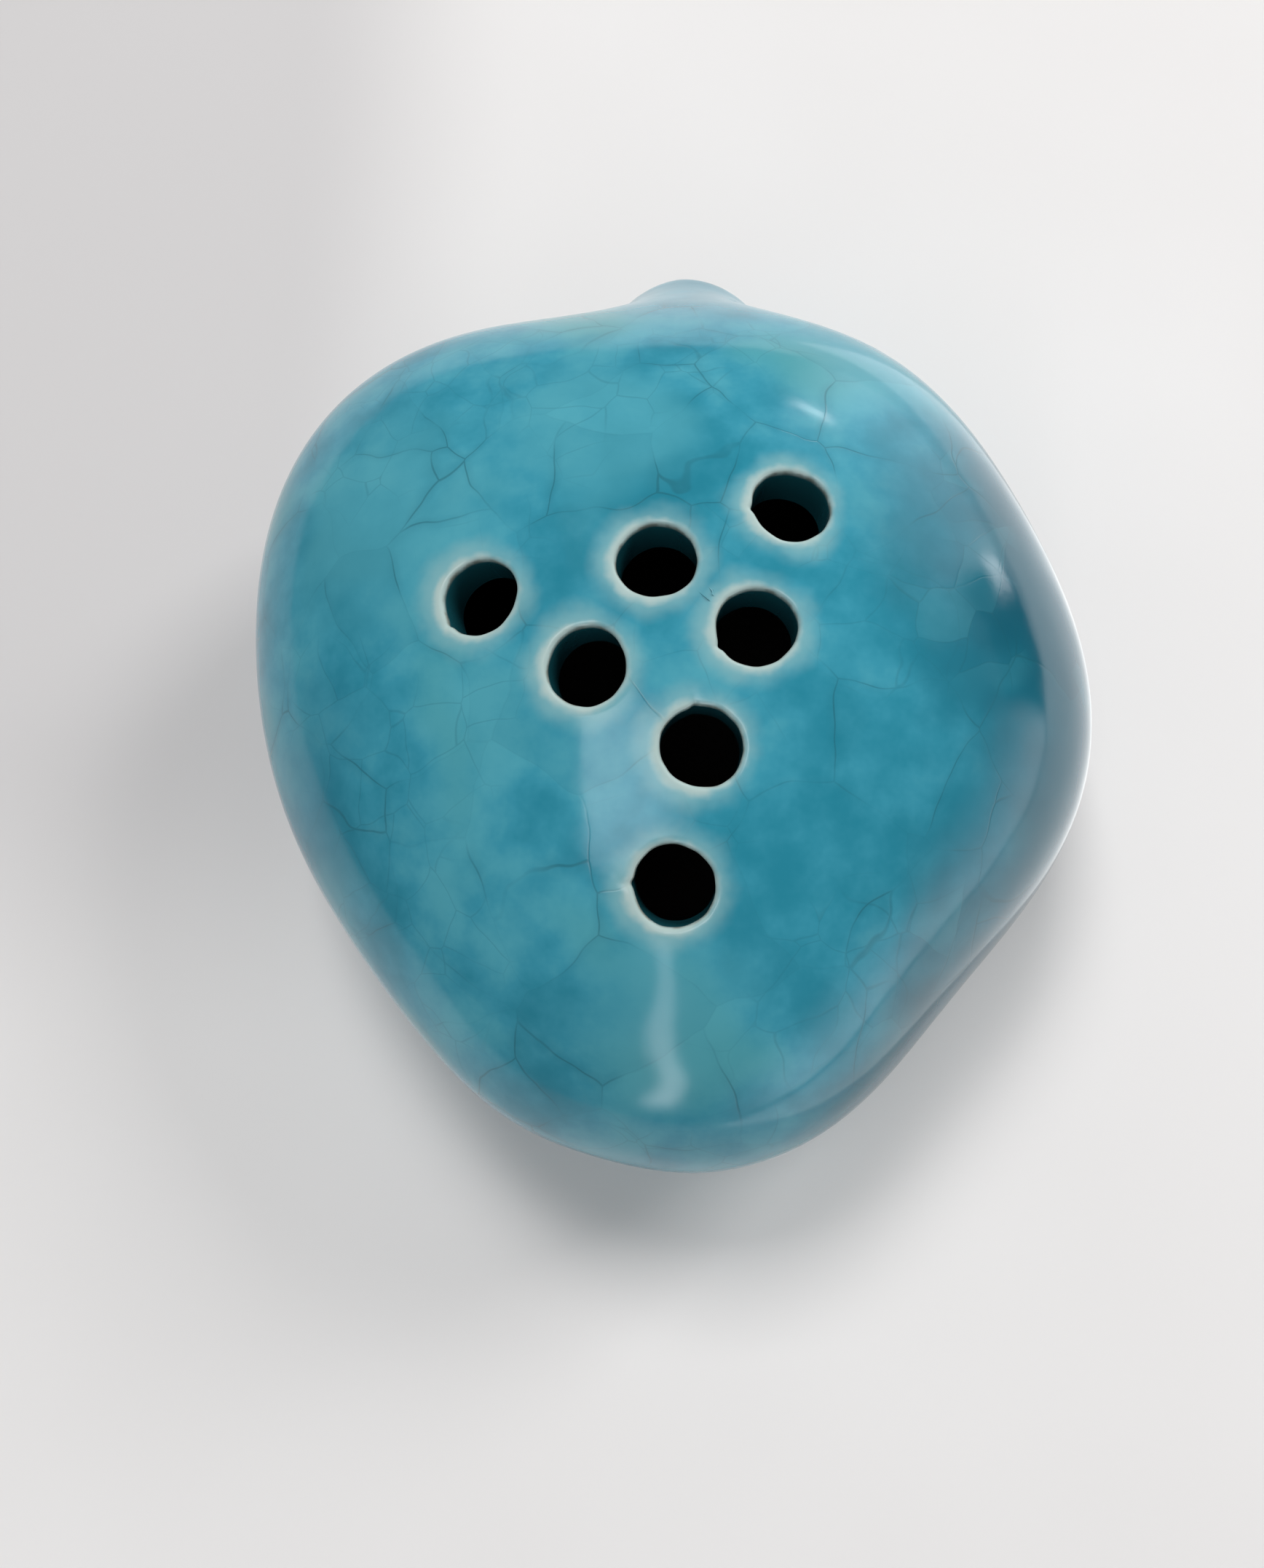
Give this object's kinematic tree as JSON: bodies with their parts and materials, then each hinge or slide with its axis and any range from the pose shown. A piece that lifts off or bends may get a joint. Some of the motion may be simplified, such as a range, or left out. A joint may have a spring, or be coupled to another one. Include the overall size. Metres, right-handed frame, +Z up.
{
  "type": "ocarina",
  "caption": "Hollow, rounded clay vessel flute with finger holes in its domed face, a short mouthpiece with an airway, a sound window underneath and a flat foot.",
  "frame": {"origin": "centre of the flat foot, on the table", "axes": "+Z up, out of the face with the finger holes; +Y from the tip towards the mouthpiece; +X to the right, seen from above the face"},
  "size_m": [0.0761, 0.0893, 0.0372],
  "materials": {
    "clay": "unglazed, matt",
    "glaze": "glossy turquoise crackle glaze"
  },
  "bodies": {
    "root": {"face_shell": "clay", "back_shell": "clay", "seam_coil": "clay", "mouthpiece_floor": "clay", "mouthpiece_roof": "clay", "blend_coil": "clay", "glaze_coat": "glaze"}
  },
  "joints": []
}
